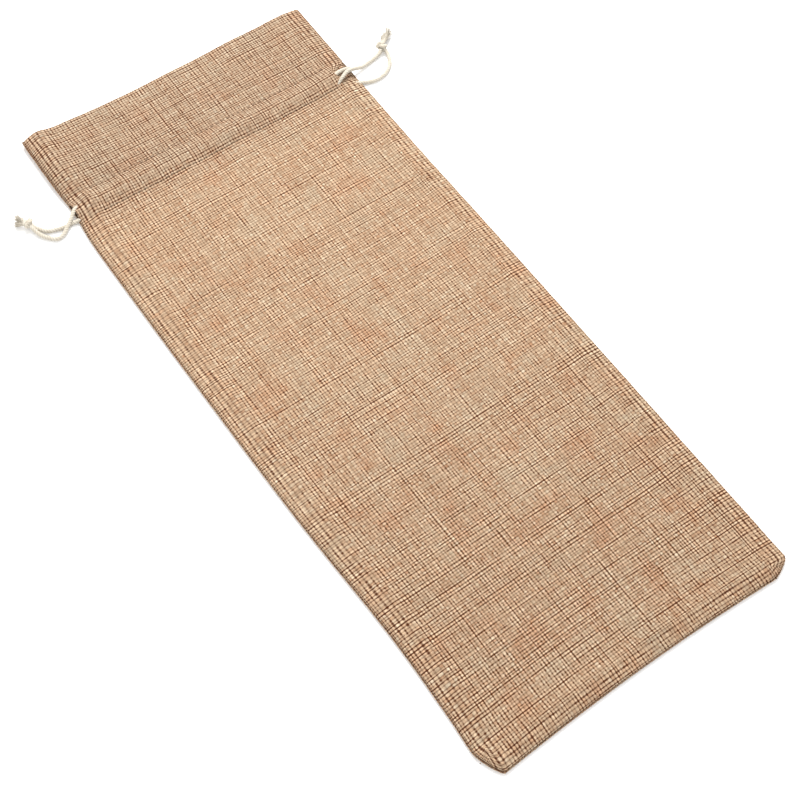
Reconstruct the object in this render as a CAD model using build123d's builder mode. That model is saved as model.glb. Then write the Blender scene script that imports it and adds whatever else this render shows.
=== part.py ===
"""Drawstring wine gift bag of coarse woven cloth, laid flat and empty, in millimetres.

The origin is the middle of the back panel's outer face. +X is across the bag, +Y runs from the
bottom seam to the mouth and +Z points up from the face that the bag lies on.

Each panel is one piece of cloth: an outer skin, a seam allowance turned inside along the sides
and the bottom, and a deep hem turned inside at the mouth. The cords run between skin and hem.
"""

import os
from math import sqrt

from build123d import *

os.makedirs("parts", exist_ok=True)

# Driving dimensions
bag_width = 150.0
bag_length = 350.0
corner_radius = 5.0
cloth = 0.4
cord = 1.9
seam_allowance = 8.0
hem_depth = 59.0
channel_below_mouth = 45.5
channel_half_width = 7.5
slit_half_width = 8.2
cord_lane = 2.2
knot_size = 5.3
knot_core = 4.5
tuft_root_width = 2.4
tuft_tip_width = 4.0

# Gaps between the layers of cloth
turn_gap = 0.3
seam_gap = 0.35
cord_slack = 0.05
loop_standoff = 0.3
exit_standoff = 1.3
tail_above_table = 0.2

# Sewing thread
seam_thread = 0.24
row_thread = 0.26
thread_clear = 0.02
stitch_length = 2.2
stitch_pitch = 3.0
stitches_in_row = 46
overlock_pitch = 5.0
overlock_thread_size = 0.2
overlock_reach = 5.0
bartack_length = 7.0
bartack_width = 1.6
seam_from_edge = 0.7
end_margin = 1.0
row_to_channel = 1.0
bartack_to_row = 1.9

# Heights of the layers, from the table up
back_skin = 0.0
back_turn = back_skin + cloth + turn_gap
front_turn = back_turn + cloth + seam_gap
front_skin = front_turn + cloth + turn_gap
front_face = front_skin + cloth
seam_height = back_turn + cloth + seam_gap / 2

# Places along the bag
bottom = -bag_length / 2
mouth = bag_length / 2
side = bag_width / 2
hem_end = mouth - hem_depth
channel = mouth - channel_below_mouth
left_lane = channel + cord_lane
right_lane = channel - cord_lane
row_offset = channel_half_width + row_to_channel
bartack_offset = row_offset + bartack_to_row

# The channel's cloth arches over the cords: how far each layer's crown stands above its base
inner_rise = 2.0
outer_rise = 3.9


def arch_radius(rise):
    """Radius of the arc that spans the channel with this rise."""
    return (channel_half_width**2 + rise**2) / (2 * rise)


def arch_centre(base, rise):
    """Height of the arc's centre for a sheet whose underside lies at base."""
    return base + cloth / 2 + rise - arch_radius(rise)


# The back run of each cord lies on the back skin, and the front run on the arch of the front hem
back_run = back_skin + cloth + cord_slack + cord / 2
front_run_reach = arch_radius(inner_rise) + cloth / 2 + cord_slack + cord / 2
front_run = arch_centre(front_turn, inner_rise) + sqrt(front_run_reach**2 - cord_lane**2)

# The free ends of a cord turn about the point where it leaves the channel
cord_turn = side + loop_standoff
exit_pivot = side + exit_standoff
pivot_clear = cord / 2 + cord_slack


def bag_outline(inset=0.0):
    """Flat outline of the bag, drawn inwards by inset, with rounded corners at the bottom."""
    with BuildSketch() as outline:
        Rectangle(bag_width, bag_length)
        bottom_corners = outline.vertices().group_by(Axis.Y)[0]
        fillet(bottom_corners, radius=corner_radius)
        if inset:
            offset(amount=-inset, kind=Kind.INTERSECTION, mode=Mode.REPLACE)
    return outline.sketch


def arched_section(base, rise, start):
    """Lengthwise section of one sheet from start to the mouth, arched over the channel."""
    radius = arch_radius(rise)
    with BuildSketch() as section:
        with Locations((start, base)):
            Rectangle(mouth - start, cloth, align=(Align.MIN, Align.MIN))
        with Locations((channel, arch_centre(base, rise))):
            Circle(radius + cloth / 2)
            Circle(radius - cloth / 2, mode=Mode.SUBTRACT)
        with Locations((start, base)):
            Rectangle(mouth - start, 2 * radius, align=(Align.MIN, Align.MIN), mode=Mode.INTERSECT)
    return section.sketch


def sewn_panel(skin, turn, skin_rise):
    """One panel: skin, mouth hem, side and bottom allowances, and the folds that join them."""
    low = min(skin, turn)
    height = abs(skin - turn) + cloth
    with BuildPart() as panel:
        with BuildSketch(Plane.YZ):
            if skin_rise:
                add(arched_section(skin, skin_rise, bottom))
            else:
                with Locations((0, skin)):
                    Rectangle(bag_length, cloth, align=(Align.CENTER, Align.MIN))
            add(arched_section(turn, inner_rise, hem_end))
            with Locations((mouth, low)):
                Rectangle(cloth, height, align=(Align.MAX, Align.MIN))
        extrude(amount=side, both=True)
        with BuildSketch(Plane.XY.offset(turn)):
            add(bag_outline())
            add(bag_outline(seam_allowance), mode=Mode.SUBTRACT)
            with Locations((0, hem_end - turn_gap)):
                Rectangle(bag_width, bag_length, align=(Align.CENTER, Align.MIN), mode=Mode.SUBTRACT)
        extrude(amount=cloth)
        with BuildSketch(Plane.XY.offset(low)):
            add(bag_outline())
            add(bag_outline(cloth), mode=Mode.SUBTRACT)
            with Locations((0, channel)):
                Rectangle(bag_width, 2 * slit_half_width, mode=Mode.SUBTRACT)
        extrude(amount=height)
        with BuildSketch(Plane.XY):
            add(bag_outline())
        extrude(amount=bag_length, mode=Mode.INTERSECT)
    return panel


def stitch_row(distance, height):
    """One straight row of lockstitches across the bag, lying on the cloth at this height."""
    with BuildPart() as row:
        with BuildSketch(Plane.XY.offset(height + thread_clear)):
            with Locations((0, distance)):
                with GridLocations(stitch_pitch, 1, stitches_in_row, 1):
                    SlotOverall(stitch_length, row_thread)
        extrude(amount=row_thread)
    return row


def bartacks(hand):
    """Two dense bars of thread that stop the side seam tearing above and below the cord slit."""
    with BuildPart() as bars:
        with BuildSketch(Plane.XY.offset(seam_height - row_thread / 2)):
            with Locations((hand * (side - end_margin - bartack_length / 2), channel)):
                with GridLocations(1, 2 * bartack_offset, 1, 2):
                    SlotOverall(bartack_length, bartack_width)
        extrude(amount=row_thread)
    return bars


def drawcord(hand, lane):
    """The looped part of a cord: in at one side, round the far edge of the bag and back again."""
    near = hand * (exit_pivot - pivot_clear)
    far = -hand * cord_turn
    loop_radius = (front_run - back_run) / 2
    with BuildPart() as loop:
        with BuildLine() as path:
            Line((near, lane, front_run), (far, lane, front_run))
            ThreePointArc(
                (far, lane, front_run),
                (far - hand * loop_radius, lane, back_run + loop_radius),
                (far, lane, back_run),
            )
            Line((far, lane, back_run), (near, lane, back_run))
        with BuildSketch(Plane(origin=path.line @ 0, z_dir=path.line % 0)):
            Circle(cord / 2)
        sweep()
    return loop


def strand(points):
    """One bare length of cord along a smooth curve, round-ended where it leaves the channel."""
    with BuildPart() as length:
        with BuildLine() as path:
            Spline(*points)
        with BuildSketch(Plane(origin=path.line @ 0, z_dir=path.line % 0)):
            Circle(cord / 2)
        sweep()
        with Locations(points[0]):
            Sphere(cord / 2)
    return length.part


def cord_tail(front_points, back_points, knot, tuft_tip):
    """Both strands of a cord outside the bag, their knot and the frayed tuft beyond it."""
    tuft_line = Vector(*tuft_tip) - Vector(*knot)
    knot_plane = Plane(origin=knot, z_dir=tuft_line)
    lump = knot_size / 2 - cord / 2
    with BuildPart() as tail:
        add(strand(front_points))
        add(strand(back_points))
        with Locations(knot_plane):
            Sphere(knot_core / 2)
            Torus(lump, cord / 2)
            Cone(
                tuft_root_width / 2,
                tuft_tip_width / 2,
                tuft_line.length,
                align=(Align.CENTER, Align.CENTER, Align.MIN),
            )
    return tail


# Body panels
front_panel = sewn_panel(front_skin, front_turn, outer_rise)
front_panel.part.label = "front_panel"
export_step(front_panel.part, "parts/front_panel.step")

back_panel = sewn_panel(back_skin, back_turn, 0)
back_panel.part.label = "back_panel"
export_step(back_panel.part, "parts/back_panel.step")

# The lockstitch that joins the panels round both sides and the bottom, open at the cord slits
seam_line = side - seam_from_edge
seam_bottom = bottom + seam_from_edge
slit_start = channel - slit_half_width
slit_end = channel + slit_half_width
with BuildPart() as closing_seam_thread:
    with BuildLine() as seam_path:
        FilletPolyline(
            (-seam_line, slit_start, seam_height),
            (-seam_line, seam_bottom, seam_height),
            (seam_line, seam_bottom, seam_height),
            (seam_line, slit_start, seam_height),
            radius=corner_radius,
        )
    with BuildSketch(Plane(origin=seam_path.line @ 0, z_dir=seam_path.line % 0)):
        Circle(seam_thread / 2)
    sweep()
    with BuildSketch(Plane.XZ.offset(-slit_end)):
        with Locations((-seam_line, seam_height), (seam_line, seam_height)):
            Circle(seam_thread / 2)
    extrude(amount=-(mouth - end_margin - slit_end))
closing_seam_thread.part.label = "closing_seam_thread"
export_step(closing_seam_thread.part, "parts/closing_seam_thread.step")

# Overlock loops, each a clip of thread round the raw edges of both allowances
clip_low = back_turn - thread_clear - overlock_thread_size
clip_high = front_turn + cloth + thread_clear + overlock_thread_size
clip_edge = side - seam_allowance - thread_clear - overlock_thread_size
clip_bottom = bottom + seam_allowance + thread_clear + overlock_thread_size
clip_centre = (clip_low + clip_high) / 2
side_clips = int((hem_end - bottom - seam_allowance) / overlock_pitch) - 1
bottom_clips = int((bag_width - 2 * seam_allowance) / overlock_pitch) - 1
with BuildSketch() as clip_section:
    Rectangle(overlock_reach, clip_high - clip_low, align=(Align.MIN, Align.CENTER))
    with Locations((overlock_thread_size, 0)):
        Rectangle(
            overlock_reach,
            clip_high - clip_low - 2 * overlock_thread_size,
            align=(Align.MIN, Align.CENTER),
            mode=Mode.SUBTRACT,
        )
with BuildPart() as side_clip:
    with BuildSketch(Plane(origin=(clip_edge, 0, clip_centre), x_dir=(1, 0, 0), z_dir=(0, -1, 0))):
        add(clip_section.sketch)
    extrude(amount=overlock_thread_size)
with BuildPart() as bottom_clip:
    with BuildSketch(Plane(origin=(0, clip_bottom, clip_centre), x_dir=(0, -1, 0), z_dir=(-1, 0, 0))):
        add(clip_section.sketch)
    extrude(amount=overlock_thread_size)
side_middle = (hem_end + bottom + seam_allowance) / 2
with BuildPart() as overlock_thread:
    with Locations((0, side_middle)):
        with GridLocations(1, overlock_pitch, 1, side_clips):
            add(side_clip.part)
    mirror(about=Plane.YZ)
    with GridLocations(overlock_pitch, 1, bottom_clips, 1):
        add(bottom_clip.part)
overlock_thread.part.label = "overlock_thread"
export_step(overlock_thread.part, "parts/overlock_thread.step")

# Stitch rows along both sides of the channel, on the front skin and on the back hem
for sheet, height in (("front", front_face), ("back", back_turn + cloth)):
    for place, distance in (("upper", channel + row_offset), ("lower", channel - row_offset)):
        row = stitch_row(distance, height)
        row.part.label = f"{sheet}_channel_{place}_stitches"
        export_step(row.part, f"parts/{row.part.label}.step")

# Bars of thread at the ends of the cord slits
for name, hand in (("left_bartacks", -1), ("right_bartacks", 1)):
    bars = bartacks(hand)
    bars.part.label = name
    export_step(bars.part, f"parts/{name}.step")

# Cords: the looped parts
left_drawcord = drawcord(-1, left_lane)
left_drawcord.part.label = "left_drawcord"
export_step(left_drawcord.part, "parts/left_drawcord.step")

right_drawcord = drawcord(1, right_lane)
right_drawcord.part.label = "right_drawcord"
export_step(right_drawcord.part, "parts/right_drawcord.step")

# Cords: the knotted ends that lie beside the bag
on_table = cord / 2 + tail_above_table
knot_height = knot_size / 2
left_tail = cord_tail(
    front_points=[
        (-exit_pivot, left_lane, front_run),
        (-exit_pivot - 3.9, left_lane - 3.3, 3.7),
        (-exit_pivot - 6.3, left_lane - 8.5, 1.9),
        (-exit_pivot - 10.2, left_lane - 10.7, on_table),
        (-exit_pivot - 14.3, left_lane - 4.7, on_table),
        (-exit_pivot - 15.5, left_lane + 3.2, knot_height - 0.4),
    ],
    back_points=[
        (-exit_pivot, left_lane, back_run),
        (-exit_pivot - 4.2, left_lane - 3.0, on_table + 0.2),
        (-exit_pivot - 9.0, left_lane - 4.6, on_table + 0.15),
        (-exit_pivot - 13.4, left_lane - 1.2, on_table + 0.35),
        (-exit_pivot - 15.3, left_lane + 3.4, knot_height - 0.45),
    ],
    knot=(-exit_pivot - 15.9, left_lane + 4.7, knot_height),
    tuft_tip=(-exit_pivot - 18.3, left_lane + 11.1, knot_height),
)
left_tail.part.label = "left_tail"
export_step(left_tail.part, "parts/left_tail.step")

right_tail = cord_tail(
    front_points=[
        (exit_pivot, right_lane, front_run),
        (exit_pivot + 3.9, right_lane + 0.7, 3.7),
        (exit_pivot + 8.7, right_lane + 1.4, 2.0),
        (exit_pivot + 15.2, right_lane + 2.6, on_table + 0.2),
        (exit_pivot + 19.6, right_lane + 5.2, knot_height - 0.4),
    ],
    back_points=[
        (exit_pivot, right_lane, back_run),
        (exit_pivot + 2.9, right_lane - 4.7, 1.3),
        (exit_pivot + 6.2, right_lane - 8.9, on_table),
        (exit_pivot + 11.2, right_lane - 9.7, on_table),
        (exit_pivot + 17.2, right_lane - 5.7, on_table),
        (exit_pivot + 20.5, right_lane + 0.7, on_table + 0.2),
        (exit_pivot + 20.9, right_lane + 4.6, knot_height - 0.4),
    ],
    knot=(exit_pivot + 21.0, right_lane + 6.5, knot_height),
    tuft_tip=(exit_pivot + 30.2, right_lane + 13.5, knot_height),
)
right_tail.part.label = "right_tail"
export_step(right_tail.part, "parts/right_tail.step")
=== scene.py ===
import math

import bpy
import numpy as np
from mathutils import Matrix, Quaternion, Vector


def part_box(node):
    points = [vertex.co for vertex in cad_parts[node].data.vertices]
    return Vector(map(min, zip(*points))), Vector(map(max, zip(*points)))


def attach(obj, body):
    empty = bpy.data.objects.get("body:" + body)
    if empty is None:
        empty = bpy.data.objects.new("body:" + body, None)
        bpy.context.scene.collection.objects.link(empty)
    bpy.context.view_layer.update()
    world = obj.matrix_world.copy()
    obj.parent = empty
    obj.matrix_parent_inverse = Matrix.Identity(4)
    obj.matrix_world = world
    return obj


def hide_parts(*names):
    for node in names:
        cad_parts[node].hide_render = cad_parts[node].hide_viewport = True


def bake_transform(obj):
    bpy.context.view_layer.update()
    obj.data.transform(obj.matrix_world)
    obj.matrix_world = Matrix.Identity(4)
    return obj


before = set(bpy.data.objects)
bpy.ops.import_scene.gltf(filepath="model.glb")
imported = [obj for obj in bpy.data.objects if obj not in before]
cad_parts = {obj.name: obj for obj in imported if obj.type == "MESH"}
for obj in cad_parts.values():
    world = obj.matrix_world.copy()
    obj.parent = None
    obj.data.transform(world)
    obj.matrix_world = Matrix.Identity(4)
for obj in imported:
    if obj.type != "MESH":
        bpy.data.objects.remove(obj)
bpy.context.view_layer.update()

# ---- Sizes. Lengths below are in millimetres and become metres when a mesh is made.
MM = 0.001
panel_low, panel_high = (np.array(corner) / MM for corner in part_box("front_panel"))
bartack_low, bartack_high = (np.array(corner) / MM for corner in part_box("left_bartacks"))
half_width = panel_high[0]
bottom = panel_low[1]
mouth_fold_room = 0.9
mouth = panel_high[1] - mouth_fold_room
channel = (bartack_low[1] + bartack_high[1]) / 2
hem_depth = 59.0

# The sewn channel: stitch rows below and above the cords, and the lane that each cord runs in
lower_row = channel - 7.0
upper_row = channel + 6.5
slit_middle = (lower_row + upper_row) / 2
left_lane = channel - 0.2
right_lane = channel - 3.9
front_run = 3.2
back_run = 1.25
cord_radius = 0.95
packed_radius = 0.62

# The cloth and its threads
warp_pitch = 1.43
weft_pitch = 1.27
cloth_thickness = 0.30
relief = 0.17
width_unevenness = 0.11
warp_wander = 0.10
weft_wander = 0.09
slub_strength = 0.28

# The lie of the bag: heights over the table, and where the sheets begin to roll in to the seam
back_height = 0.30
seam_rest_height = 1.25
front_height = 2.45
front_ridge = 66.5
back_ridge = 72.2


def smooth(low, high, value):
    """0 below low, 1 above high, and a smooth step between them."""
    t = np.clip((value - low) / (high - low), 0.0, 1.0)
    return t * t * (3 - 2 * t)


def swell(x, y, wavelength, seed):
    """Smooth random undulation of unit strength with features about one wavelength across."""
    draw = np.random.default_rng(seed)
    total = np.zeros(np.broadcast(x, y).shape)
    waves = 12
    shortest, longest = 0.7, 1.5
    for _ in range(waves):
        angle = draw.uniform(0, 2 * math.pi)
        number = 2 * math.pi / (wavelength * draw.uniform(shortest, longest))
        phase = draw.uniform(0, 2 * math.pi)
        total += np.sin(number * (x * math.cos(angle) + y * math.sin(angle)) + phase)
    return total * math.sqrt(2 / waves)


# ---- The shape of the lying bag: heights of each sheet over the table
def hill(distance, width):
    """A smooth bump: 1 at distance 0, nearly 0 two widths away."""
    return np.exp(-((distance / width) ** 2))


def plateau(distance, width):
    """A bump with a flat top: about 1 within half a width, nearly 0 beyond one and a half."""
    return np.exp(-((distance / width) ** 4))


def left_lift(x, y):
    """How much the header's left edge rolls up off the table, 0 to 1."""
    lies_flat, fully_up = -25, -66
    return smooth(lies_flat, fully_up, x) * smooth(upper_row - 6, upper_row + 14, y)


def seam_height(x, y):
    """Height of the side seam, where the two panels meet."""
    return seam_rest_height + 1.3 * left_lift(x, y)


def channel_bulge(x, y):
    """0 to 1 over the cords, falling to 0 at the stitch rows and lower where the cords come out."""
    t = np.clip((y - lower_row) / (upper_row - lower_row), 0, 1)
    roundness = 1.2
    right_drop = 0.5 * smooth(65, 70, x)
    left_drop = 0.4 * smooth(-69, -73, x)
    across = 1 - right_drop - left_drop
    return np.sin(math.pi * t) ** roundness * across


def slit(y):
    """1 across the opening in each side seam where the cords come out, 0 away from it."""
    return plateau(y - slit_middle, 4.6)


def around_slit(y):
    """1 at the slit and for a few millimetres beyond its ends."""
    return plateau(y - slit_middle, 7.5)


def draw_in(x, y, left, right):
    """The cloth's edges at the slit, held back by the cords that pass through it."""
    pull = np.where(x < 0, left, right)
    eased_over = 3.0
    zone = pull + eased_over
    share = np.clip((np.abs(x) - (half_width - zone)) / zone, 0, 1)
    return x - np.sign(x) * pull * slit(y) * share


def front_base(x, y):
    """Height of the front panel without the channel's bulge."""
    ax = np.abs(x)
    from_side = half_width - ax
    from_bottom = y - bottom
    header_step = 0.30 * smooth(lower_row - 3, lower_row + 2, y)
    side_fold = 0.75 * hill(ax - front_ridge, 3.2) * (1 - 0.5 * (y > upper_row))
    bottom_fold = 0.65 * hill(from_bottom - 7.0, 3.0)
    waves = 0.22 * np.clip(swell(x, y, 85, 3), -1.2, 1.8) + 0.10 * swell(x, y, 26, 4)
    near_edge = np.exp(-from_side / 7.0) + 0.7 * np.exp(-from_bottom / 6.0)
    puckers = 0.16 * swell(x * 0.4, y, 8, 5) * np.clip(near_edge, 0, 1)
    gathers = 0.09 * swell(x, y * 0.12, 9, 6) * hill(y - channel, 13.0)
    rolled_side = 2.1 * left_lift(x, y) * (1 - 0.35 * smooth(mouth - 18, mouth, y))
    flatter_mouth = 0.35 * smooth(mouth - 25, mouth, y)
    crease = 0.16 * hill(from_bottom - 95 - 0.14 * x, 2.0) * smooth(60, 20, ax)
    height = front_height + header_step + side_fold + bottom_fold + waves
    return height + puckers + gathers + rolled_side - flatter_mouth + crease


def front_top(x, y):
    """Height of the front panel's outer skin, held down along the two stitch rows."""
    pinch = 0.16 * hill(y - lower_row, 2.6) + 0.12 * hill(y - upper_row, 1.6)
    pinch = pinch * (1 + 0.8 * np.clip(swell(x, y, 20, 8), -1.2, 1.2))
    bulge = 1.52 + 0.20 * swell(x, y * 0.3, 24, 9)
    return front_base(x, y) + bulge * channel_bulge(x, y) - pinch


def front_hem(x, y):
    """Height of the front panel's turned-in hem."""
    below_front = 1.0
    return front_base(x, y) - below_front + 0.6 * channel_bulge(x, y)


def back_bottom(x, y):
    """Height of the back panel's outer skin, which rests on the table."""
    inner_part = smooth(half_width, half_width - 15, np.abs(x))
    return back_height + 0.05 * (1 + swell(x, y, 40, 7)) * inner_part


def back_hem(x, y):
    """Height of the back panel's turned-in hem."""
    above_back = 0.95
    return back_bottom(x, y) + above_back + 0.95 * channel_bulge(x, y) + 0.5 * left_lift(x, y)


def roll_across(s, ridge, reach, band, curl):
    """Place across the bag and roll angle for a distance s along the cloth from the middle."""
    over = np.clip((np.abs(s) - ridge) / band, 0, None)
    angle = over * curl
    x = np.minimum(np.abs(s), ridge) + (reach - ridge) * np.sin(angle)
    return np.sign(s) * x, angle


def cut_corner(x, y, edge, floor):
    """Draws the square bottom corners in to the short slanted ends that the folded seam gives them."""
    left_side, right_side = 5.5, 10.5
    left_height, right_height = 13.0, 5.0
    side = np.where(x < 0, left_side, right_side)
    height = np.where(x < 0, left_height, right_height)
    a = np.clip((np.abs(x) - (edge - side)) / side, 0, None)
    b = np.clip(((floor + height) - y) / height, 0, None)
    power = 1.25
    never_zero = 1e-9
    shrink = np.maximum(a, b) / np.maximum((a**power + b**power) ** (1 / power), never_zero)
    inside = (a > 0) & (b > 0)
    new_x = np.where(inside, np.sign(x) * (edge - side + side * a * shrink), x)
    new_y = np.where(inside, floor + height - height * b * shrink, y)
    return new_x, new_y


def lie(x, y):
    """The slight skew, bow and pinching of the bag as it lies."""
    along = (y - bottom) / (mouth - bottom)
    shift = -0.7 + 0.6 * along + 1.6 * along**4
    stretch = 1.004 - 0.010 * along**4
    left_pinch = 2.1 * hill(along - 0.18, 0.13) * smooth(0.01, 0.08, along)
    left_pinch = left_pinch + 1.3 * hill(y - channel, 12) + 0.4 * smooth(0.85, 0.95, along)
    right_pinch = 0.35 + 0.7 * hill(along - 0.75, 0.2)
    narrow = 1 - np.where(x < 0, left_pinch, right_pinch) / half_width
    near_bottom = smooth(bottom + 70, bottom, y)
    bow = (0.7 - 0.00045 * (x + 12) ** 2) * near_bottom - 1.6 * along
    near_mouth = smooth(mouth - 40, mouth, y)
    wave = 0.35 * np.sin(x / 21.0 + 0.6) - 0.8 * hill(x - 5, 28)
    wave = wave + 0.7 * hill(x - 60, 8) + 1.4 * hill(x + 68, 5.0)
    return x * stretch * narrow + shift, y + bow + wave * near_mouth


def settled(x, y, z):
    """Points at a height over the table, moved across it as the bag lies."""
    px, py = lie(x, y)
    return np.stack([px, py, z], axis=-1)


def keep_behind(x, y):
    """Holds the back panel's right side a little behind the front panel's, less so at the slit."""
    return x - 1.3 * smooth(62, 75, x) * (1 - 0.45 * around_slit(y))


class Sheet:
    """One panel's outline. It lies level up to the ridge, then rolls by the angle curl over a band of
    cloth until its edge reaches the seam. The floor values say the same of the bottom edge."""

    fold = 2.0
    fold_radius = 0.55
    hem_inset = 1.0

    def __init__(self, ridge, reach, band, curl, floor_ridge, floor_reach, floor_band, front):
        self.ridge = ridge
        self.reach = reach
        self.band = band
        self.curl = curl
        self.floor_ridge = floor_ridge
        self.floor_reach = floor_reach
        self.floor_band = floor_band
        self.front = front

    def body_length(self):
        """Length of cloth from the channel's lower row to the bottom edge."""
        return (lower_row - self.floor_ridge) + self.floor_band

    def body(self, s, t):
        """Points of the body for cloth distances s across and t (0 at the lower row, negative below)."""
        x, roll = roll_across(s, self.ridge, self.reach, self.band, self.curl)
        down = -t - (lower_row - self.floor_ridge)
        turn = np.clip(down / self.floor_band, 0, None) * self.curl
        level_y = np.maximum(lower_row + t, self.floor_ridge)
        y = level_y - (self.floor_ridge - self.floor_reach) * np.sin(turn)
        x, y = cut_corner(x, y, self.reach, self.floor_reach)
        return self.outer_points(x, y, np.cos(roll) * np.cos(turn))

    def outer_points(self, x, y, lift):
        """Points of the outer skin; lift goes from 0 at the seam to 1 where the sheet lies level."""
        seam = seam_height(x, y)
        if self.front:
            open_lift = 0.9
            lift = lift + np.clip(open_lift - lift, 0, None) * slit(y)
            z = seam + (front_top(x, y) - seam) * lift
            x = draw_in(x, y, left=0.0, right=6.5)
        else:
            z = seam + (back_bottom(x, y) - seam) * lift
            x = keep_behind(x, y)
            z = z + 1.1 * slit(y) * smooth(60, 66, x) * smooth(half_width, 72, x)
        return settled(x, y, z)

    def hem_points(self, x, y, lift):
        """Points of the hem inside the bag; lift is the same as for the outer skin."""
        seam = seam_height(x, y)
        level = front_hem(x, y) if self.front else back_hem(x, y)
        z = seam + (level - seam) * lift
        x = draw_in(x, y, left=10.0, right=1.5)
        if not self.front:
            x = keep_behind(x, y)
        return settled(x, y, z)

    def header(self, s, t):
        """Points of the header, its fold at the mouth and the hem turned down inside."""
        x, roll = roll_across(s, self.ridge, self.reach, self.band, self.curl)
        hem_reach = self.reach - self.hem_inset
        hem_x, hem_roll = roll_across(s, self.ridge, hem_reach, self.band, self.curl)
        rise = mouth - lower_row
        y = np.where(t < rise, lower_row + t, mouth - np.clip(t - rise - self.fold, 0, None))
        turned = np.clip((t - rise) / self.fold, 0, 1) * math.pi
        outer = self.outer_points(x, y, np.cos(roll))
        inner = self.hem_points(hem_x, y, np.cos(hem_roll))
        outer_share = (1 + np.cos(turned))[..., None] / 2
        points = inner + (outer - inner) * outer_share
        points[..., 1] += self.fold_radius * np.sin(turned)
        return points


header_length = (mouth - lower_row) + Sheet.fold + hem_depth
front_sheet = Sheet(
    ridge=front_ridge,
    reach=half_width,
    band=9.2,
    curl=math.radians(104),
    floor_ridge=bottom + 5.5,
    floor_reach=bottom,
    floor_band=6.4,
    front=True,
)
back_sheet = Sheet(
    ridge=back_ridge,
    reach=half_width + 0.6,
    band=4.4,
    curl=math.radians(112),
    floor_ridge=bottom + 2.6,
    floor_reach=bottom - 0.5,
    floor_band=3.6,
    front=False,
)


# ---- The weave: every thread is two grid steps wide and stands up as real relief
def thread_steps(length, pitch, seed):
    """Half-thread steps from 0 to length, with threads of uneven width."""
    draw = np.random.default_rng(seed)
    count = int(round(length / pitch))
    thinnest, thickest = 0.7, 1.4
    widths = np.clip(1 + width_unevenness * draw.standard_normal(count), thinnest, thickest)
    edges = np.concatenate([[0], np.cumsum(widths)])
    edges *= length / edges[-1]
    steps = np.empty(2 * count + 1)
    steps[0::2] = edges
    steps[1::2] = (edges[1:] + edges[:-1]) / 2
    return steps


def drift(shape, axis, reach, seed):
    """Random field that changes slowly along one axis only, as the path of a thread does."""
    draw = np.random.default_rng(seed)
    field = draw.standard_normal(shape)
    kernel = np.hanning(2 * reach + 3)
    kernel /= math.sqrt((kernel**2).sum())
    return np.apply_along_axis(lambda line: np.convolve(line, kernel, mode="same"), axis, field)


def fade_in(count):
    """0 at both ends of a row of steps and 1 from the fifth step on, so that pieces meet exactly."""
    fade_steps = 4
    place = np.arange(count)
    return np.minimum(1, np.minimum(place, place[::-1]) / fade_steps)


def thread_relief(rows, columns, fade, seed):
    """How far each grid point stands out: a crown where two threads cross, a dip between them."""
    beside_crown = 0.15
    thinnest, thickest = 0.3, 1.9
    centre_s = (np.arange(rows) % 2 == 1)[:, None]
    centre_t = (np.arange(columns) % 2 == 1)[None, :]
    stand = np.where(centre_s & centre_t, 1.0, np.where(centre_s | centre_t, beside_crown, -1.0))
    warp_slub = slub_strength * drift((rows, columns), 1, 10, seed)
    weft_slub = slub_strength * drift((rows, columns), 0, 10, seed + 1)
    slub = 1 + fade * (warp_slub + weft_slub)
    return relief * stand * np.clip(slub, thinnest, thickest)


def woven_piece(name, points_of, across, along, seed, front, first_u, first_v):
    """A closed piece of cloth: woven outer face, plain inner face, and the edges between them."""
    rows, columns = len(across), len(along)
    fade = fade_in(rows)[:, None] * fade_in(columns)[None, :]
    s = across[:, None] + warp_wander * drift((rows, columns), 1, 16, seed) * fade
    t = along[None, :] + weft_wander * drift((rows, columns), 0, 16, seed + 1) * fade
    base = points_of(s, t)
    normal = np.cross(np.gradient(base, axis=0), np.gradient(base, axis=1))
    normal /= np.maximum(np.linalg.norm(normal, axis=-1, keepdims=True), 1e-12)
    if not front:
        normal = -normal
    outer = base + normal * thread_relief(rows, columns, fade, seed + 2)[..., None]
    inner = base[::2, ::2] - normal[::2, ::2] * cloth_thickness

    fine = np.arange(rows * columns).reshape(rows, columns)
    coarse = rows * columns + np.arange(inner.shape[0] * inner.shape[1]).reshape(inner.shape[:2])
    quads = np.concatenate([quad_faces(fine), quad_faces(coarse)[:, ::-1]])
    borders = (
        (fine[:, 0], coarse[:, 0], False),
        (fine[-1, :], coarse[-1, :], False),
        (fine[:, -1], coarse[:, -1], True),
        (fine[0, :], coarse[0, :], True),
    )
    strips = []
    for fine_line, coarse_line, reverse in borders:
        faces = border_faces(fine_line, coarse_line)
        strips.append(faces[:, ::-1] if reverse else faces)
    strips = np.concatenate(strips)
    if not front:
        quads = quads[:, ::-1]
        strips = strips[:, ::-1]
    vertices = np.concatenate([outer.reshape(-1, 3), inner.reshape(-1, 3)])
    u = np.arange(rows) / 2 + first_u
    v = np.arange(columns) / 2 + first_v
    uv = np.stack(np.meshgrid(u, v, indexing="ij"), axis=-1)
    uv = np.concatenate([uv.reshape(-1, 2), uv[::2, ::2].reshape(-1, 2)])
    rim = np.concatenate([fine_line for fine_line, _, _ in borders])
    return mesh_object(name, vertices, [quads, strips], uv, rim)


def quad_faces(grid):
    """Faces between the neighbouring vertices of a grid."""
    a = grid[:-1, :-1].ravel()
    b = grid[1:, :-1].ravel()
    c = grid[1:, 1:].ravel()
    d = grid[:-1, 1:].ravel()
    return np.stack([a, b, c, d], axis=1)


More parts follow.
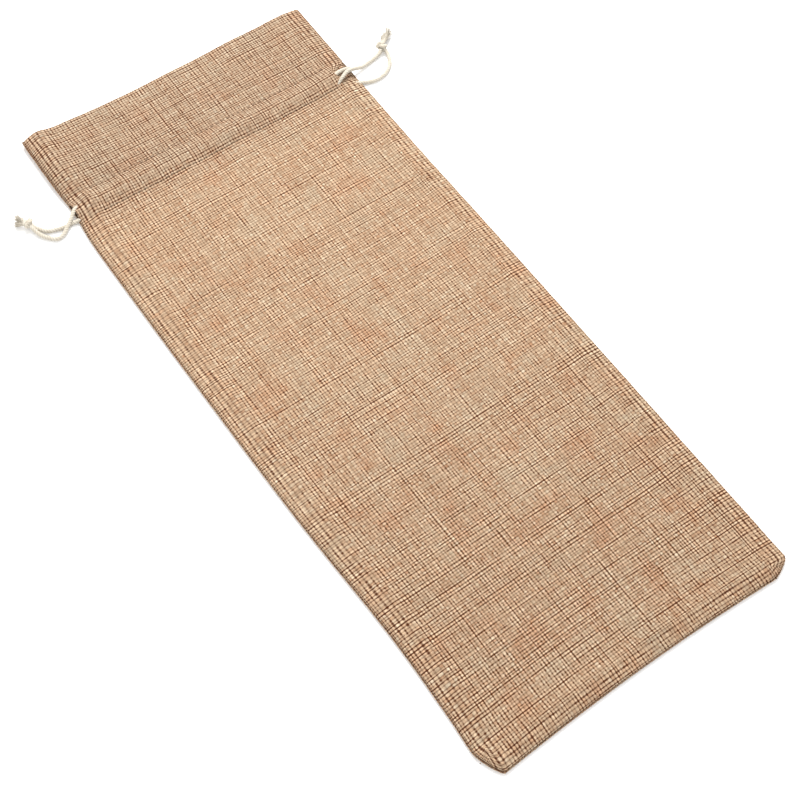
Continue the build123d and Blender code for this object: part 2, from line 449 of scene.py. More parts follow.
def border_faces(fine_line, coarse_line):
    """Triangles that join a border to the inner face, which has half as many steps."""
    f0, f1, f2 = fine_line[0:-1:2], fine_line[1::2], fine_line[2::2]
    c0, c1 = coarse_line[:-1], coarse_line[1:]
    return np.concatenate([
        np.stack([f0, c0, f1], axis=1),
        np.stack([f1, c0, c1], axis=1),
        np.stack([f1, c1, f2], axis=1),
    ])


def mesh_object(name, vertices, face_groups, uv, rim=None):
    """A smooth-shaded object from vertices in millimetres and groups of equal-sided faces. The edges
    between rim vertices stay sharp."""
    mesh = bpy.data.meshes.new(name)
    loops = np.concatenate([group.ravel() for group in face_groups]).astype(np.int32)
    sides = [np.full(len(group), group.shape[1]) for group in face_groups]
    totals = np.concatenate(sides).astype(np.int32)
    starts = np.concatenate([[0], np.cumsum(totals)[:-1]]).astype(np.int32)
    mesh.vertices.add(len(vertices))
    mesh.vertices.foreach_set("co", (vertices * MM).astype(np.float32).ravel())
    mesh.loops.add(len(loops))
    mesh.loops.foreach_set("vertex_index", loops)
    mesh.polygons.add(len(totals))
    mesh.polygons.foreach_set("loop_start", starts)
    mesh.polygons.foreach_set("use_smooth", np.ones(len(totals), dtype=bool))
    mesh.update(calc_edges=True)
    layer = mesh.uv_layers.new(name="Threads")
    layer.data.foreach_set("uv", uv[loops].astype(np.float32).ravel())
    if rim is not None:
        on_rim = np.zeros(len(vertices), dtype=bool)
        on_rim[rim] = True
        ends = np.empty(2 * len(mesh.edges), dtype=np.int32)
        mesh.edges.foreach_get("vertices", ends)
        ends = ends.reshape(-1, 2)
        sharp = mesh.attributes.new("sharp_edge", "BOOLEAN", "EDGE")
        sharp.data.foreach_set("value", on_rim[ends].all(axis=1))
    mesh.validate()
    made = bpy.data.objects.new(name, mesh)
    bpy.context.scene.collection.objects.link(made)
    return made


# ---- Materials
class Nodes:
    """Short calls for building a material's node tree."""

    def __init__(self, name):
        self.material = bpy.data.materials.new(name)
        self.material.use_nodes = True
        self.tree = self.material.node_tree
        self.shader = self.tree.nodes["Principled BSDF"]

    def feed(self, node, values):
        """Links or sets a node's inputs, given by name or number."""
        for key, value in values.items():
            if isinstance(value, bpy.types.NodeSocket):
                self.tree.links.new(value, node.inputs[key])
            else:
                node.inputs[key].default_value = value

    def add(self, kind, values, output=0, **settings):
        """Adds a node and returns one of its outputs."""
        made = self.tree.nodes.new(kind)
        for key, value in settings.items():
            setattr(made, key, value)
        self.feed(made, values)
        return made.outputs[output]

    def thread_place(self):
        """The two thread coordinates of a mesh: whole numbers fall between threads."""
        uv = self.add("ShaderNodeUVMap", {}, uv_map="Threads")
        x = self.add("ShaderNodeSeparateXYZ", {0: uv})
        return x, x.node.outputs[1]

    def math(self, operation, a, b=0.0, c=0.0):
        return self.add("ShaderNodeMath", {0: a, 1: b, 2: c}, operation=operation)

    def times(self, a, b):
        return self.math("MULTIPLY", a, b)

    def times_plus(self, a, b, c):
        return self.math("MULTIPLY_ADD", a, b, c)

    def minus(self, a, b):
        return self.math("SUBTRACT", a, b)

    def step(self, value, low, high, start=0.0, end=1.0):
        """A smooth step from start to end as the value goes from low to high."""
        values = {"Value": value, "From Min": low, "From Max": high, "To Min": start, "To Max": end}
        return self.add("ShaderNodeMapRange", values, interpolation_type="SMOOTHSTEP")

    def join(self, x, y, z):
        return self.add("ShaderNodeCombineXYZ", {0: x, 1: y, 2: z})

    def noise(self, vector, detail, scale=1.0):
        values = {"Vector": vector, "Scale": scale, "Detail": detail}
        return self.add("ShaderNodeTexNoise", values, "Fac", noise_dimensions="3D")

    def random(self, vector):
        return self.add("ShaderNodeTexWhiteNoise", {"Vector": vector}, "Value", noise_dimensions="3D")

    def ramp(self, value, stops):
        colour = self.add("ShaderNodeValToRGB", {"Fac": value}, "Color")
        elements = colour.node.color_ramp.elements
        while len(elements) < len(stops):
            elements.new(0.5)
        for element, (place, tone) in zip(elements, stops):
            element.position = place
            element.color = tone
        return colour

    def mix(self, factor, a, b):
        values = {"Factor": factor, "A": a, "B": b}
        return self.add("ShaderNodeMix", values, "Result", data_type="RGBA", blend_type="MIX")

    def scale_colour(self, colour, amount):
        return self.add("ShaderNodeVectorMath", {0: colour, "Scale": amount}, "Vector", operation="SCALE")

    def bump(self, height, distance, strength):
        values = {"Height": height, "Distance": distance, "Strength": strength}
        return self.add("ShaderNodeBump", values, "Normal")

    def surface(self, colour, roughness, specular):
        """Gives the shader what every material here has."""
        values = {"Base Color": colour, "Roughness": roughness, "Specular IOR Level": specular}
        self.feed(self.shader, values)


def srgb(red, green, blue):
    """An opaque linear colour from 0-255 display values."""
    return (*(((c / 255 + 0.055) / 1.055) ** 2.4 for c in (red, green, blue)), 1.0)


def beside(n, index, place, stretch, seed):
    """Noise that follows one thread and has nothing to do with its neighbours."""
    apart = 7.31
    return n.noise(n.join(n.times(index, apart), n.times(place, stretch), seed), 1.0)


def thread_tone(n, index, place, seed):
    """Light and dark along one thread: its own tone, slow changes and quick ones."""
    own = n.random(n.join(index, seed, 0.0))
    slow = beside(n, index, place, 0.07, seed + 1)
    quick = beside(n, index, place, 0.5, seed + 2)
    total = n.times_plus(own, 0.16, n.times(slow, 0.30))
    total = n.times_plus(quick, 0.62, total)
    return n.minus(total, 0.04)


def gap_shade_and_highlight(n, coordinate, place, seed, uneven, bridged, deeper_gap_shade):
    """Painted shade between a thread and the next, and a painted highlight on the thread edges beside it.
    The gap is bridged at the crossings, and uneven says how much its single holes differ."""
    index = n.math("FLOOR", n.math("ADD", coordinate, 0.5))
    crossing = n.math("FLOOR", n.math("ADD", place, 0.5))
    away = n.math("ABSOLUTE", n.minus(coordinate, index))
    from_hole = n.math("ABSOLUTE", n.minus(place, crossing))
    own = n.random(n.join(index, seed, 1.0))
    hole = n.random(n.join(index, crossing, seed))
    slow = beside(n, index, place, 0.05, seed + 3)
    quick = beside(n, index, place, 0.45, seed + 4)
    total = n.times_plus(own, 0.30, n.times(slow, 0.70))
    total = n.times_plus(quick, 0.55, total)
    total = n.times_plus(hole, uneven, total)

    # A strong gap is wide and has dark painted shade, with a painted highlight on the thread edges beside
    # it
    strength = n.step(total, 0.50 + uneven * 0.3, 1.22 + uneven * 0.7)
    width = n.times_plus(strength, 0.12, 0.12)
    line = n.step(away, n.times(width, 0.4), n.times(width, 1.6), 1.0, 0.0)
    bridge = n.step(from_hole, 0.16, 0.44, 1.0, bridged)
    dark = n.times(n.times_plus(strength, 0.98, 0.21), bridge)
    dark = n.times(dark, deeper_gap_shade)
    darkest = 0.97
    # Painted highlight on the thread edges beside a strong gap
    shoulder_highlight = n.step(away, n.times(width, 3.2), n.times(width, 1.6), 0.0, strength)
    return n.times(line, n.math("MINIMUM", dark, darkest)), shoulder_highlight


def burlap():
    """Plain weave: threads of uneven tone, and between them gaps of painted shade that widen and close.
    """
    n = Nodes("burlap_cloth")
    u, v = n.thread_place()
    iu, iv = n.math("FLOOR", u), n.math("FLOOR", v)
    fu = n.minus(n.math("FRACT", u), 0.5)
    fv = n.minus(n.math("FRACT", v), 0.5)
    parity = n.math("FLOORED_MODULO", n.math("ADD", iu, iv), 2.0)
    weft_on_top = n.math("GREATER_THAN", parity, 0.5)

    def pick(a, b):
        """Value a where the lengthwise thread is on top, b where the crosswise one is."""
        kept = n.times(a, n.minus(1.0, weft_on_top))
        return n.times_plus(b, weft_on_top, kept)

    palette = (
        (0.16, srgb(168, 118, 84)),
        (0.36, srgb(204, 166, 132)),
        (0.56, srgb(221, 190, 157)),
        (0.84, srgb(238, 219, 190)),
    )
    reddish = srgb(206, 140, 98)
    pale = srgb(214, 200, 172)
    greyish = srgb(205, 196, 180)
    # Colour of the painted shade in the gaps between threads
    painted_gap_shade = srgb(98, 48, 18)
    warp = n.ramp(thread_tone(n, iu, v, 11.0), palette)
    weft = n.ramp(thread_tone(n, iv, u, 47.0), palette)
    colour = n.mix(weft_on_top, warp, weft)

    # Each crossing has its own tone and the fibres run as fine streaks; each crown gets a painted
    # highlight that fades to painted shade towards its ends
    crossing = n.random(n.join(iu, iv, 2.0))
    shade = n.step(crossing, 0.0, 1.0, 0.93, 1.06)
    streak_warp = n.noise(n.join(n.times(u, 12.0), n.times(v, 1.1), 3.0), 2.0)
    streak_weft = n.noise(n.join(n.times(u, 1.1), n.times(v, 12.0), 5.0), 2.0)
    streak = pick(streak_warp, streak_weft)
    shade = n.times(shade, n.step(streak, 0.28, 0.72, 0.72, 1.22))
    crown = pick(n.math("ABSOLUTE", fv), n.math("ABSOLUTE", fu))
    shade = n.times(shade, n.step(crown, 0.10, 0.55, 1.06, 0.82))
    # Painted highlight along the middle of each top thread
    crest = pick(n.math("ABSOLUTE", fu), n.math("ABSOLUTE", fv))
    shade = n.times(shade, n.step(crest, 0.02, 0.26, 1.12, 0.95))

    # Broad reddish and pale patches
    patch = n.noise(n.join(n.times(u, 0.09), n.times(v, 0.07), 8.0), 2.0)
    colour = n.mix(n.step(patch, 0.52, 0.72, 0.0, 0.28), colour, reddish)
    colour = n.mix(n.step(patch, 0.48, 0.30, 0.0, 0.25), colour, pale)
    colour = n.scale_colour(colour, shade)

    # The painted shade in the gaps is stronger in the doubled header and towards the bottom; v is 0 at
    # the lower row
    header = n.step(v, -12.0, 8.0)
    deeper_gap_shade_below = n.step(v, -210.0, -70.0, 1.32, 1.0)
    deeper_gap_shade = n.math("ADD", deeper_gap_shade_below, n.times(header, 0.42))
    gap_shade_u, shoulder_highlight_u = gap_shade_and_highlight(n, u, v, 61.0, 0.42, 0.55, deeper_gap_shade)
    gap_shade_v, shoulder_highlight_v = gap_shade_and_highlight(n, v, u, 83.0, 0.16, 0.78, deeper_gap_shade)
    cover = n.times(n.minus(1.0, gap_shade_u), n.minus(1.0, gap_shade_v))
    shoulder_highlights = n.math("ADD", shoulder_highlight_u, shoulder_highlight_v)
    # Painted highlight on the thread edges beside the strong gaps
    colour = n.scale_colour(colour, n.times_plus(shoulder_highlights, 0.52, 1.0))
    colour = n.mix(n.times(header, 0.11), colour, greyish)
    # Painted light and shade: the body is painted a little lighter than the header, and a little darker
    # towards the bottom
    painted_body_light = n.step(v, -12.0, 8.0, 1.08, 1.04)
    painted_bottom_shade = n.step(v, -210.0, -70.0, 0.985, 1.0)
    colour = n.scale_colour(colour, n.times(painted_body_light, painted_bottom_shade))
    # Painted shade in the gaps, where no thread covers the cloth
    colour = n.mix(cover, painted_gap_shade, colour)
    colour = n.scale_colour(colour, under_bright_light)

    height = n.times_plus(streak, 0.15, cover)
    n.surface(colour, n.step(streak, 0.2, 0.8, 0.78, 0.95), 0.12)
    n.feed(n.shader, {"Normal": n.bump(height, 0.0002, 0.7)})
    return n.material


def cotton(name, light, dark, hold_down):
    """Twisted cotton: fibres along the plies, with painted shade in the grooves between them."""
    n = Nodes(name)
    ply, along = n.thread_place()
    groove = n.math("ABSOLUTE", n.minus(n.math("FRACT", ply), 0.5))
    fibre = n.noise(n.join(n.times(ply, 9.0), n.times(along, 0.9), 1.0), 3.0)
    mottle = n.noise(n.join(ply, n.times(along, 0.25), 6.0), 2.0)
    tone = n.times_plus(fibre, 0.45, n.times(mottle, 0.45))
    colour = n.ramp(tone, ((0.22, dark), (0.62, light)))
    # Painted shade in the grooves between the plies
    colour = n.scale_colour(colour, n.step(groove, 0.22, 0.5, 1.0, 0.72))
    colour = n.scale_colour(colour, hold_down)
    height = n.minus(fibre, groove)
    n.surface(colour, n.step(fibre, 0.2, 0.8, 0.75, 0.95), 0.2)
    n.feed(n.shader, {"Normal": n.bump(height, 0.00015, 0.6), "Sheen Weight": 0.15})
    return n.material


# The light is strong enough to wash out the floor's shadows, so the bag's colours are held down
under_bright_light = 0.470
cord_hold_down = 0.74
cloth_material = burlap()
cord_material = cotton("cotton_cord", srgb(238, 231, 217), srgb(206, 193, 170), cord_hold_down)
thread_material = cotton("sewing_thread", srgb(226, 198, 168), srgb(176, 140, 108), under_bright_light)


def gather(piece):
    """Bakes the piece's placement into its mesh."""
    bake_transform(piece)


def panel_pieces(side, sheet, node, seed):
    """The four pieces of one panel, with threads that run on from piece to piece."""
    half_cloth = sheet.ridge + sheet.band
    steps = {hand: thread_steps(half_cloth, warp_pitch, seed + hand) for hand in (-1, 1)}
    body_steps = thread_steps(sheet.body_length(), weft_pitch, seed + 20)
    header_steps = thread_steps(header_length, weft_pitch, seed + 30)
    parts = (
        ("body", sheet.body, -body_steps[::-1], -(len(body_steps) - 1) / 2),
        ("header", sheet.header, header_steps, 0),
    )
    other_threads = 0 if sheet.front else 400
    for hand, word in ((-1, "left"), (1, "right")):
        across = steps[hand] if hand > 0 else -steps[hand][::-1]
        first_u = other_threads - (0 if hand > 0 else (len(across) - 1) / 2)
        for part, points_of, along, first_v in parts:
            name = f"{side}_{part}_{word}"
            piece = woven_piece(
                name, points_of, across, along, seed + 5 + hand, sheet.front, first_u, first_v
            )
            piece.data.materials.append(cloth_material)
            gather(piece)
            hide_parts(node)


panel_pieces("front", front_sheet, "front_panel", 100)
panel_pieces("back", back_sheet, "back_panel", 200)


# ---- Cords and threads: twisted tubes along smooth paths
def path_length(points):
    """Distance from the first point to each point along a path."""
    return np.concatenate([[0], np.cumsum(np.linalg.norm(np.diff(points, axis=0), axis=1))])


def smooth_path(points, step):
    """Points at equal steps along a Catmull-Rom curve through the given ones."""
    p = np.array(points, float)
    p = np.vstack([2 * p[0] - p[1], p, 2 * p[-1] - p[-2]])
    samples = 24
    t = np.linspace(0, 1, samples, endpoint=False)[:, None]
    pieces = []
    for a, b, c, d in zip(p[:-3], p[1:-2], p[2:-1], p[3:]):
        square = (2 * a - 5 * b + 4 * c - d) * t**2
        cube = (3 * b - a - 3 * c + d) * t**3
        pieces.append(0.5 * (2 * b + (c - a) * t + square + cube))
    curve = np.vstack(pieces + [p[-2:-1]])
    length = path_length(curve)
    count = max(int(round(length[-1] / step)), 2)
    even = np.linspace(0, length[-1], count + 1)
    return np.stack([np.interp(even, length, curve[:, k]) for k in range(3)], axis=1)


def frames_along(path):
    """Two directions square to the path at each point, carried along it without twisting."""
    tangent = np.gradient(path, axis=0)
    tangent /= np.linalg.norm(tangent, axis=1, keepdims=True)
    side = np.cross(tangent[0], [0.0, 0.0, 1.0])
    upright = np.linalg.norm(side) < 1e-3
    if upright:
        side = np.array([1.0, 0.0, 0.0])
    normals = []
    for direction in tangent:
        side = side - direction * side.dot(direction)
        side /= np.linalg.norm(side)
        normals.append(side)
    normal = np.array(normals)
    return normal, np.cross(tangent, normal)


def tube(path, radius, sides, plies=0, twist=3.6):
    """Vertices, quads, end triangles and UVs of a tube, with plies that wind round it."""
    path = np.asarray(path, float)
    radius = np.broadcast_to(radius, len(path))
    normal, binormal = frames_along(path)
    length = path_length(path)
    angle = np.linspace(0, 2 * math.pi, sides, endpoint=False)[None, :]
    wound = angle - 2 * math.pi * length[:, None] / twist
    groove, lobe = 0.84, 0.18
    section = groove + lobe * np.abs(np.cos(plies * wound / 2)) if plies else np.ones_like(wound)
    reach = radius[:, None] * section
    ring = (
        path[:, None, :]
        + normal[:, None, :] * (reach * np.cos(angle))[..., None]
        + binormal[:, None, :] * (reach * np.sin(angle))[..., None]
    )
    count = len(path)
    index = np.arange(count * sides).reshape(count, sides)
    wrapped = np.concatenate([index, index[:, :1]], axis=1)
    quads = quad_faces(wrapped)[:, ::-1]
    first, last = count * sides, count * sides + 1
    start_fan = np.stack([np.full(sides, first), wrapped[0, :-1], wrapped[0, 1:]], axis=1)
    end_fan = np.stack([np.full(sides, last), wrapped[-1, 1:], wrapped[-1, :-1]], axis=1)
    vertices = np.vstack([ring.reshape(-1, 3), path[0], path[-1]])
    ply = max(plies, 1) * wound / (2 * math.pi) + 0.5
    uv = np.stack([ply, np.broadcast_to(length[:, None], ply.shape)], axis=-1).reshape(-1, 2)
    uv = np.vstack([uv, [0, length[0]], [0, length[-1]]])
    return vertices, quads, np.vstack([start_fan, end_fan]), uv


def tube_object(name, tubes, material):
    """One object from many tubes."""
    vertices, quads, fans, uvs = [], [], [], []
    offset = 0
    for points, sides, ends, uv in tubes:
        vertices.append(points)
        quads.append(sides + offset)
        fans.append(ends + offset)
        uvs.append(uv)
        offset += len(points)
    faces = [np.vstack(quads), np.vstack(fans)]
    made = mesh_object(name, np.vstack(vertices), faces, np.vstack(uvs))
    made.data.materials.append(material)
    return made


def cord_piece(name, points, node, packed_to):
    """A length of the twisted cord, thinner and close under the front panel as far as packed_to."""
    path = smooth_path(points, 0.22)
    ax = np.abs(path[:, 0])
    channel_lean = 1.4
    clearance = 0.4
    between_runs = 2.6
    skin = front_top(path[:, 0], path[:, 1] + channel_lean)
    level = skin - cloth_thickness - packed_radius - clearance
    in_front = path[:, 2] > between_runs
    under_front = smooth(packed_to + 1, packed_to - 4, ax) * in_front
    path[:, 2] += (level - path[:, 2]) * under_front
    free = smooth(packed_to - 3, packed_to + 3, ax)
    radius = packed_radius + (cord_radius - packed_radius) * free
    piece = tube_object(name, [tube(path, radius, 24, plies=3)], cord_material)
    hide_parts(node)
    return piece


def at(x, above_channel, z):
    """A cord point given by its distance above the channel's middle line."""
    return (x, channel + above_channel, z)


# Where the cords leave the channel, as distances from the middle of the bag
loops_packed_to = 64.0
strands_packed_to = 66.0

# The looped parts run in the channel, round the far side of the bag and back
loops = {
    "left": [
        (-62, left_lane, front_run),
        (0, left_lane + 0.2, front_run),
        (58, left_lane, front_run),
        at(64.6, -1.9, 4.0),
        at(68.1, -1.6, 4.1),
        at(71.3, -1.4, 3.7),
        at(73.9, -1.4, 2.7),
        at(74.8, -1.7, 1.9),
        at(73.8, -1.9, 1.3),
        at(69.0, -1.4, back_run),
        (60, left_lane, back_run),
        (0, left_lane, back_run),
        (-62, left_lane, back_run),
    ],
    "right": [
        (58, right_lane, front_run),
        (0, right_lane - 0.2, front_run),
        (-60, right_lane, front_run),
        (-65.5, right_lane, front_run - 0.3),
        (-67.3, right_lane, (front_run + back_run) / 2),
        (-65.5, right_lane, back_run + 0.2),
        (-60, right_lane, back_run),
        (0, right_lane, back_run),
        (60, right_lane, back_run),
    ],
}
for word, points in loops.items():
    piece = cord_piece(f"{word}_cord_loop", points, f"{word}_drawcord", loops_packed_to)
    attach(piece, f"{word}_cord")

# The free strands run from inside the channel out through the slits to the knots
knot_height = 2.65
left_knot = np.array(at(-92.6, 3.8, knot_height))
right_knot = np.array(at(94.9, 1.3, knot_height))
strands = {
    "left_front_strand": [
        (-60, left_lane, front_run),
        (-65, left_lane, front_run),
        at(-69.0, -0.4, 2.4),
        at(-72.0, -1.0, 3.1),
        at(-74.3, -2.8, 3.0),
        at(-76.5, -4.6, 2.4),
        at(-79.7, -6.8, 1.7),
        at(-82.5, -8.7, 1.2),
        at(-85.9, -9.1, 1.0),
        at(-88.9, -6.4, 1.0),
        at(-91.1, -3.0, 1.4),
        at(-92.2, 1.2, 2.2),
        left_knot + (0.1, -1.2, -0.2),
    ],
    "left_back_strand": [
        (-60, left_lane, back_run),
        at(-66.5, -2.6, back_run),
        at(-71.0, -5.6, 1.4),
        at(-74.1, -6.0, 1.3),
        at(-76.5, -5.5, 1.1),
        at(-80.4, -5.4, 1.0),
        at(-84.4, -4.4, 1.0),
        at(-87.5, -3.2, 1.1),
        at(-90.0, -0.6, 1.6),
        at(-91.4, 1.4, 2.2),
        left_knot + (0.5, -1.0, 0.1),
    ],
    "right_front_strand": [
        (57, right_lane, front_run),
        at(61.0, -5.4, front_run),
        at(64.2, -6.6, 3.9),
        at(66.9, -5.8, 4.7),
        at(70.8, -4.0, 4.8),
        at(73.6, -3.3, 4.0),
        at(76.9, -3.2, 2.7),
        at(80.0, -3.2, 1.7),
        at(84.0, -2.6, 1.1),
        at(88.8, -1.7, 1.1),
        at(92.2, -0.9, 1.7),
        right_knot + (-1.2, -1.2, -0.2),
    ],
    "right_back_strand": [
        (58, right_lane, back_run),
        at(66.0, -6.4, back_run),
        at(71.0, -9.0, 1.35),
        at(74.8, -10.6, 1.2),
        at(79.6, -12.5, 1.0),
        at(84.6, -12.8, 1.0),
        at(89.6, -11.1, 1.0),
        at(93.6, -7.4, 1.0),
        at(95.4, -3.2, 1.4),
        at(95.4, -0.8, 2.0),
        right_knot + (0.1, -1.3, -0.1),
    ],
}
for name, points in strands.items():
    word = name.split("_")[0]
    piece = cord_piece(name, points, f"{word}_tail", strands_packed_to)
    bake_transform(piece)


def knot_tubes(centre, direction):
    """The doubled cord's overhand knot, drawn up tight: two trefoils, one inside the other."""
    axis = np.array(direction, float)
    axis /= np.linalg.norm(axis)
    up = np.array([0.0, 0.0, 1.0])
    across = np.cross(up, axis)
    turns = np.linspace(0, 2 * math.pi, 200)
    flatness = 0.9
    depth = 1.5
    tightness = 0.88
    tubes = []
    for size, phase in ((0.66, 0.0), (0.56, 0.9)):
        a = size * (np.sin(turns + phase) + 2 * np.sin(2 * (turns + phase)))
        b = size * (np.cos(turns + phase) - 2 * np.cos(2 * (turns + phase)))
        c = -size * depth * np.sin(3 * (turns + phase))
        points = centre + a[:, None] * across + b[:, None] * up * flatness + c[:, None] * axis * flatness
        tubes.append(tube(points, cord_radius * tightness, 20, plies=3))
    return tubes


# The frayed ends
fibre_count = 110
fibre_spread = 0.32
fibre_bend = 0.14
fibre_root_radius = 0.14
fibre_tip_radius = 0.06
above_table = 0.15


def fibre_tube(draw, start, axis, side, up, length, stub):
    """One loose fibre, from somewhere in the stub outwards."""
    angle = draw.uniform(0, 2 * math.pi)
    share = math.sqrt(draw.uniform(0, 1))
    outwards = side * math.cos(angle) + up * math.sin(angle)
    root = start + axis * draw.uniform(0.2, stub) + outwards * cord_radius * 0.8 * share
    open_angle = fibre_spread * share * draw.uniform(0.3, 1.2)
    heading = axis + outwards * open_angle
    heading /= np.linalg.norm(heading)
    reach = length * draw.uniform(0.5, 1.0)
    bend = (side * draw.normal() + up * draw.normal()) * fibre_bend * reach
    points = np.array([root, root + heading * reach * 0.5 + bend * 0.4, root + heading * reach + bend])
    points[:, 2] = np.maximum(points[:, 2], above_table)
    path = smooth_path(points, reach / 6)
    return tube(path, np.linspace(fibre_root_radius, fibre_tip_radius, len(path)), 5)


def tuft_tubes(start, direction, length, stub, seed):
    """A short stub of cord that opens into loose cotton fibres."""
    draw = np.random.default_rng(seed)
    axis = np.array(direction, float)
    axis /= np.linalg.norm(axis)
    side = np.cross(axis, [0, 0, 1.0])
    up = np.cross(side, axis)
    stub_path = smooth_path([start, start + axis * stub / 2, start + axis * stub], 0.2)
    tubes = [tube(stub_path, cord_radius * 0.95, 20, plies=3)]
    for _ in range(fibre_count):
        tubes.append(fibre_tube(draw, start, axis, side, up, length, stub))
    return tubes


def make_end(word, knot, tuft_direction, tufts):
    """The knot and the frayed tuft of one cord; a tuft is a shift, direction, length, stub and seed."""
    tubes = []
    for shift, direction, length, stub, seed in tufts:
        tubes += tuft_tubes(knot + np.array(shift), direction, length, stub, seed)
    pieces = {f"{word}_knot": knot_tubes(knot, tuft_direction), f"{word}_tuft": tubes}
    for name, found in pieces.items():
        piece = tube_object(name, found, cord_material)
        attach(piece, f"{word}_cord_end")
        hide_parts(f"{word}_tail")


make_end(
    "left",
    left_knot,
    (-0.3, 1.0, 0.0),
    [
        ((-0.8, 1.5, 0.3), (-0.49, 0.87, 0.05), 3.4, 2.4, 21),
        ((-1.7, 1.2, -0.6), (-0.80, 0.60, -0.05), 3.0, 2.0, 22),
    ],
)
make_end(
    "right",
    right_knot,
    (0.8, 0.62, 0.0),
    [
        ((1.3, 0.8, 0.2), (0.80, 0.60, -0.03), 6.4, 6.8, 31),
        ((1.2, 1.4, -0.5), (0.76, 0.66, -0.06), 4.6, 4.0, 32),
    ],
)


# ---- Sewing: rows across the channel, bartacks, the seam's own thread and the overlock
def thread_object(name, tubes):
    return tube_object(name, tubes, thread_material)


def stitch(start, end, rise, radius):
    """One stitch: a short arch of twisted thread whose ends dive into the cloth."""
    start, end, rise = np.array(start), np.array(end), np.array(rise)
    t = np.linspace(0, 1, 9)[:, None]
    arch = 1 - (2 * t - 1) ** 4
    return tube(start + (end - start) * t + rise * arch, radius, 8, plies=2, twist=1.1)


def row_piece(name, node, hand, y, height_of, lift):
    """Half of one stitch row across the bag, lying on the cloth; lift is 1 in front and -1 behind."""
    row_length = 64
    pitch = 2.9
    stitch_start, stitch_end = 0.5, 2.5
    dive = 0.12
    rise = 0.30
    tubes = []
    for k in range(int(row_length / pitch)):
        ends = []
        for x in (hand * (k * pitch + stitch_start), hand * (k * pitch + stitch_end)):
            ends.append(settled(x, y, height_of(x, y) - dive * lift))
        tubes.append(stitch(ends[0], ends[1], (0, 0, rise * lift), 0.17))
    piece = thread_object(name, tubes)
    gather(piece)
    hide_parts(node)


for hand, word in ((-1, "left"), (1, "right")):
    for place, y in (("upper", upper_row), ("lower", lower_row + 0.4)):
        front_node = f"front_channel_{place}_stitches"
        back_node = f"back_channel_{place}_stitches"
        row_piece(f"front_{place}_row_{word}", front_node, hand, y, front_top, 1)
        row_piece(f"back_{place}_row_{word}", back_node, hand, y, back_bottom, -1)


def seam_point(hand, y):
    """The groove between the panels at one side of the bag."""
    right_inset = 0.9
    groove = -half_width if hand < 0 else half_width - right_inset
    return settled(groove, y, seam_height(hand * half_width, y))


def seam_ladder(places, outward):
    """Short rungs of thread across the groove between the panels."""
    half_rung = (0, 0, 0.55)
    rise = np.array(outward) * 0.35
    return [stitch(p - half_rung, p + half_rung, rise, 0.13) for p in places]


def seam_pieces():
    """The rungs of the closing seam: up both sides, except at the slits, and along the bottom."""
    pitch = 2.6
    corner_room = 8
    for hand, word in ((-1, "left"), (1, "right")):
        below = np.arange(bottom + corner_room, lower_row - 3, pitch)
        above = np.arange(upper_row + 3, mouth - 2, pitch)
        for part, heights in (("body", below), ("header", above)):
            places = [seam_point(hand, y) for y in heights]
            piece = thread_object(f"seam_thread_{part}_{word}", seam_ladder(places, (hand, 0, 0)))
            gather(piece)
            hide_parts("closing_seam_thread")
    outward_shift = (0, -0.1, 0)
    across = np.arange(-half_width + corner_room, half_width - corner_room, pitch)
    places = [settled(x, bottom, seam_rest_height) + outward_shift for x in across]
    piece = thread_object("seam_thread_bottom", seam_ladder(places, (0, -1, 0)))
    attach(piece, "bag")
    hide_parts("closing_seam_thread")


def overlock_pieces():
    """The overlock loops round the raw edges of the allowances, inside the bag."""
    inset = 8.0
    corner_room = 2
    loop_pitch = 2.2
    loop_reach = 1.6
    loop_rise = 0.22
    level = 1.45
    step = 0.25
    thread_radius = 0.1

    def loops(along):
        """How far the loops reach in from the edge, and their height, at places along it."""
        phase = 2 * math.pi * along / loop_pitch
        return inset - loop_reach + loop_reach * np.cos(phase), level + loop_rise * np.sin(phase)

    for hand, word in ((-1, "left"), (1, "right")):
        y = np.arange(bottom + inset + corner_room, lower_row - 10, step)
        depth, z = loops(y)
        path = np.stack([hand * (half_width - depth), y, z], axis=1)
        piece = thread_object(f"overlock_{word}", [tube(path, thread_radius, 6)])
        gather(piece)
        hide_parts("overlock_thread")
    corner = half_width - inset - corner_room
    x = np.arange(-corner, corner, step)
    depth, z = loops(x)
    path = np.stack([x, bottom + depth, z], axis=1)
    piece = thread_object("overlock_bottom", [tube(path, thread_radius, 6)])
    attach(piece, "bag")
    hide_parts("overlock_thread")


def bartack_pieces():
    """Dense bars of thread round the seam at both ends of each slit."""
    rung_pitch = 0.32
    ends = (lower_row - 1.0, upper_row + 1.6)
    for hand, word in ((-1, "left"), (1, "right")):
        places = [seam_point(hand, end + rung_pitch * k) for end in ends for k in range(-3, 4)]
        piece = thread_object(f"{word}_bartack_pair", seam_ladder(places, (hand, 0, 0)))
        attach(piece, f"mouth_{word}")
        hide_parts(f"{word}_bartacks")


seam_pieces()
overlock_pieces()
bartack_pieces()


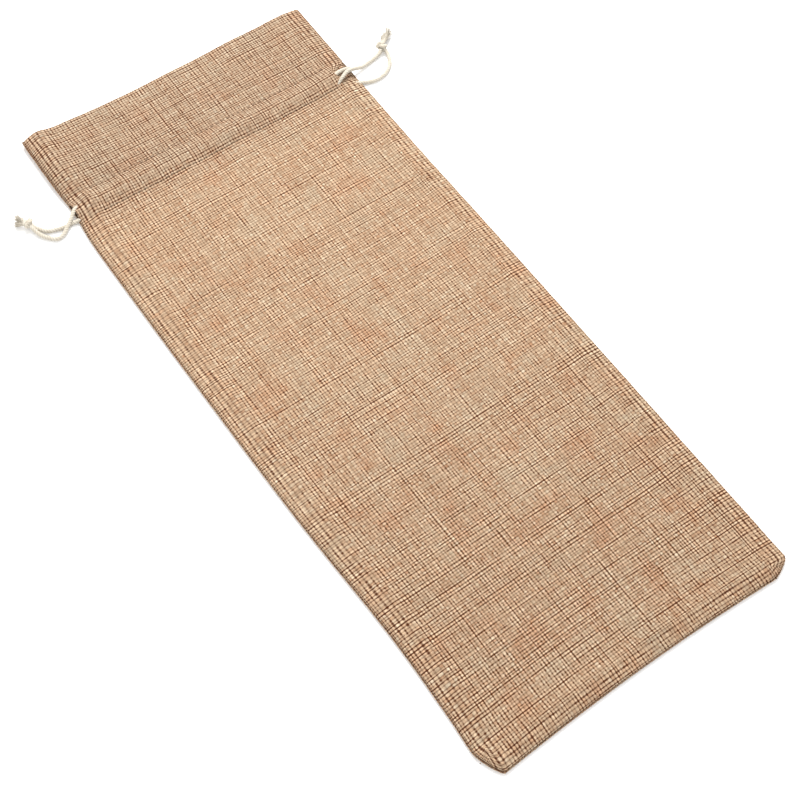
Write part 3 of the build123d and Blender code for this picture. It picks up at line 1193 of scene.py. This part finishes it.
# ---- Floor, light and camera, in metres
def floor():
    """A pale floor with a faint grain."""
    reach = 60.0
    corners = [(-reach, -reach, 0), (reach, -reach, 0), (reach, reach, 0), (-reach, reach, 0)]
    mesh = bpy.data.meshes.new("floor")
    mesh.from_pydata(corners, [], [(0, 1, 2, 3)])
    made = bpy.data.objects.new("floor", mesh)
    bpy.context.scene.collection.objects.link(made)
    n = Nodes("pale_floor")
    grain = n.noise(n.add("ShaderNodeTexCoord", {}, "Object"), 2.0, 40.0)
    greys = ((0.3, (0.93, 0.93, 0.93, 1.0)), (0.7, (0.95, 0.95, 0.95, 1.0)))
    n.surface(n.ramp(grain, greys), 0.9, 0.0)
    mesh.materials.append(n.material)


def set_up(name, data, place, turn):
    """Puts a light or the camera in its place."""
    made = bpy.data.objects.new(name, data)
    made.location = place
    made.rotation_mode = "QUATERNION"
    made.rotation_quaternion = turn
    bpy.context.scene.collection.objects.link(made)
    return made


def area_light(name, place, size, power):
    """A round soft light that points at the middle of the bag."""
    data = bpy.data.lights.new(name, "AREA")
    data.shape = "DISK"
    data.size = size
    data.energy = power
    set_up(name, data, place, (-Vector(place)).to_track_quat("-Z", "Y"))


def studio():
    """White surroundings, a key light from behind and a weaker fill from the front left."""
    world = bpy.data.worlds.new("studio")
    world.use_nodes = True
    background = world.node_tree.nodes["Background"]
    background.inputs["Color"].default_value = (1.0, 1.0, 1.0, 1.0)
    background.inputs["Strength"].default_value = 1.0
    scene = bpy.context.scene
    scene.world = world
    scene.view_settings.view_transform = "Standard"
    area_light("key", (0.35, 0.75, 1.0), size=0.5, power=20.0)
    area_light("fill", (-0.7, -0.5, 1.3), size=1.0, power=5.0)


def camera():
    """A product photograph's viewpoint: high, from the front left, slightly rolled. Its place and aim
    are in widths of the bag."""
    width = 2 * half_width * MM
    roll_degrees = 6.6
    data = bpy.data.cameras.new("camera")
    data.sensor_width = 36.0
    data.lens = 69.14
    place = Vector((-1.4553, -1.7305, 3.7060)) * width
    aim = Vector((-0.0663, -0.1846, 0.0)) * width
    view = (aim - place).to_track_quat("-Z", "Y")
    roll = Quaternion((0, 0, 1), math.radians(roll_degrees))
    bpy.context.scene.camera = set_up("camera", data, place, view @ roll)


floor()
studio()
camera()
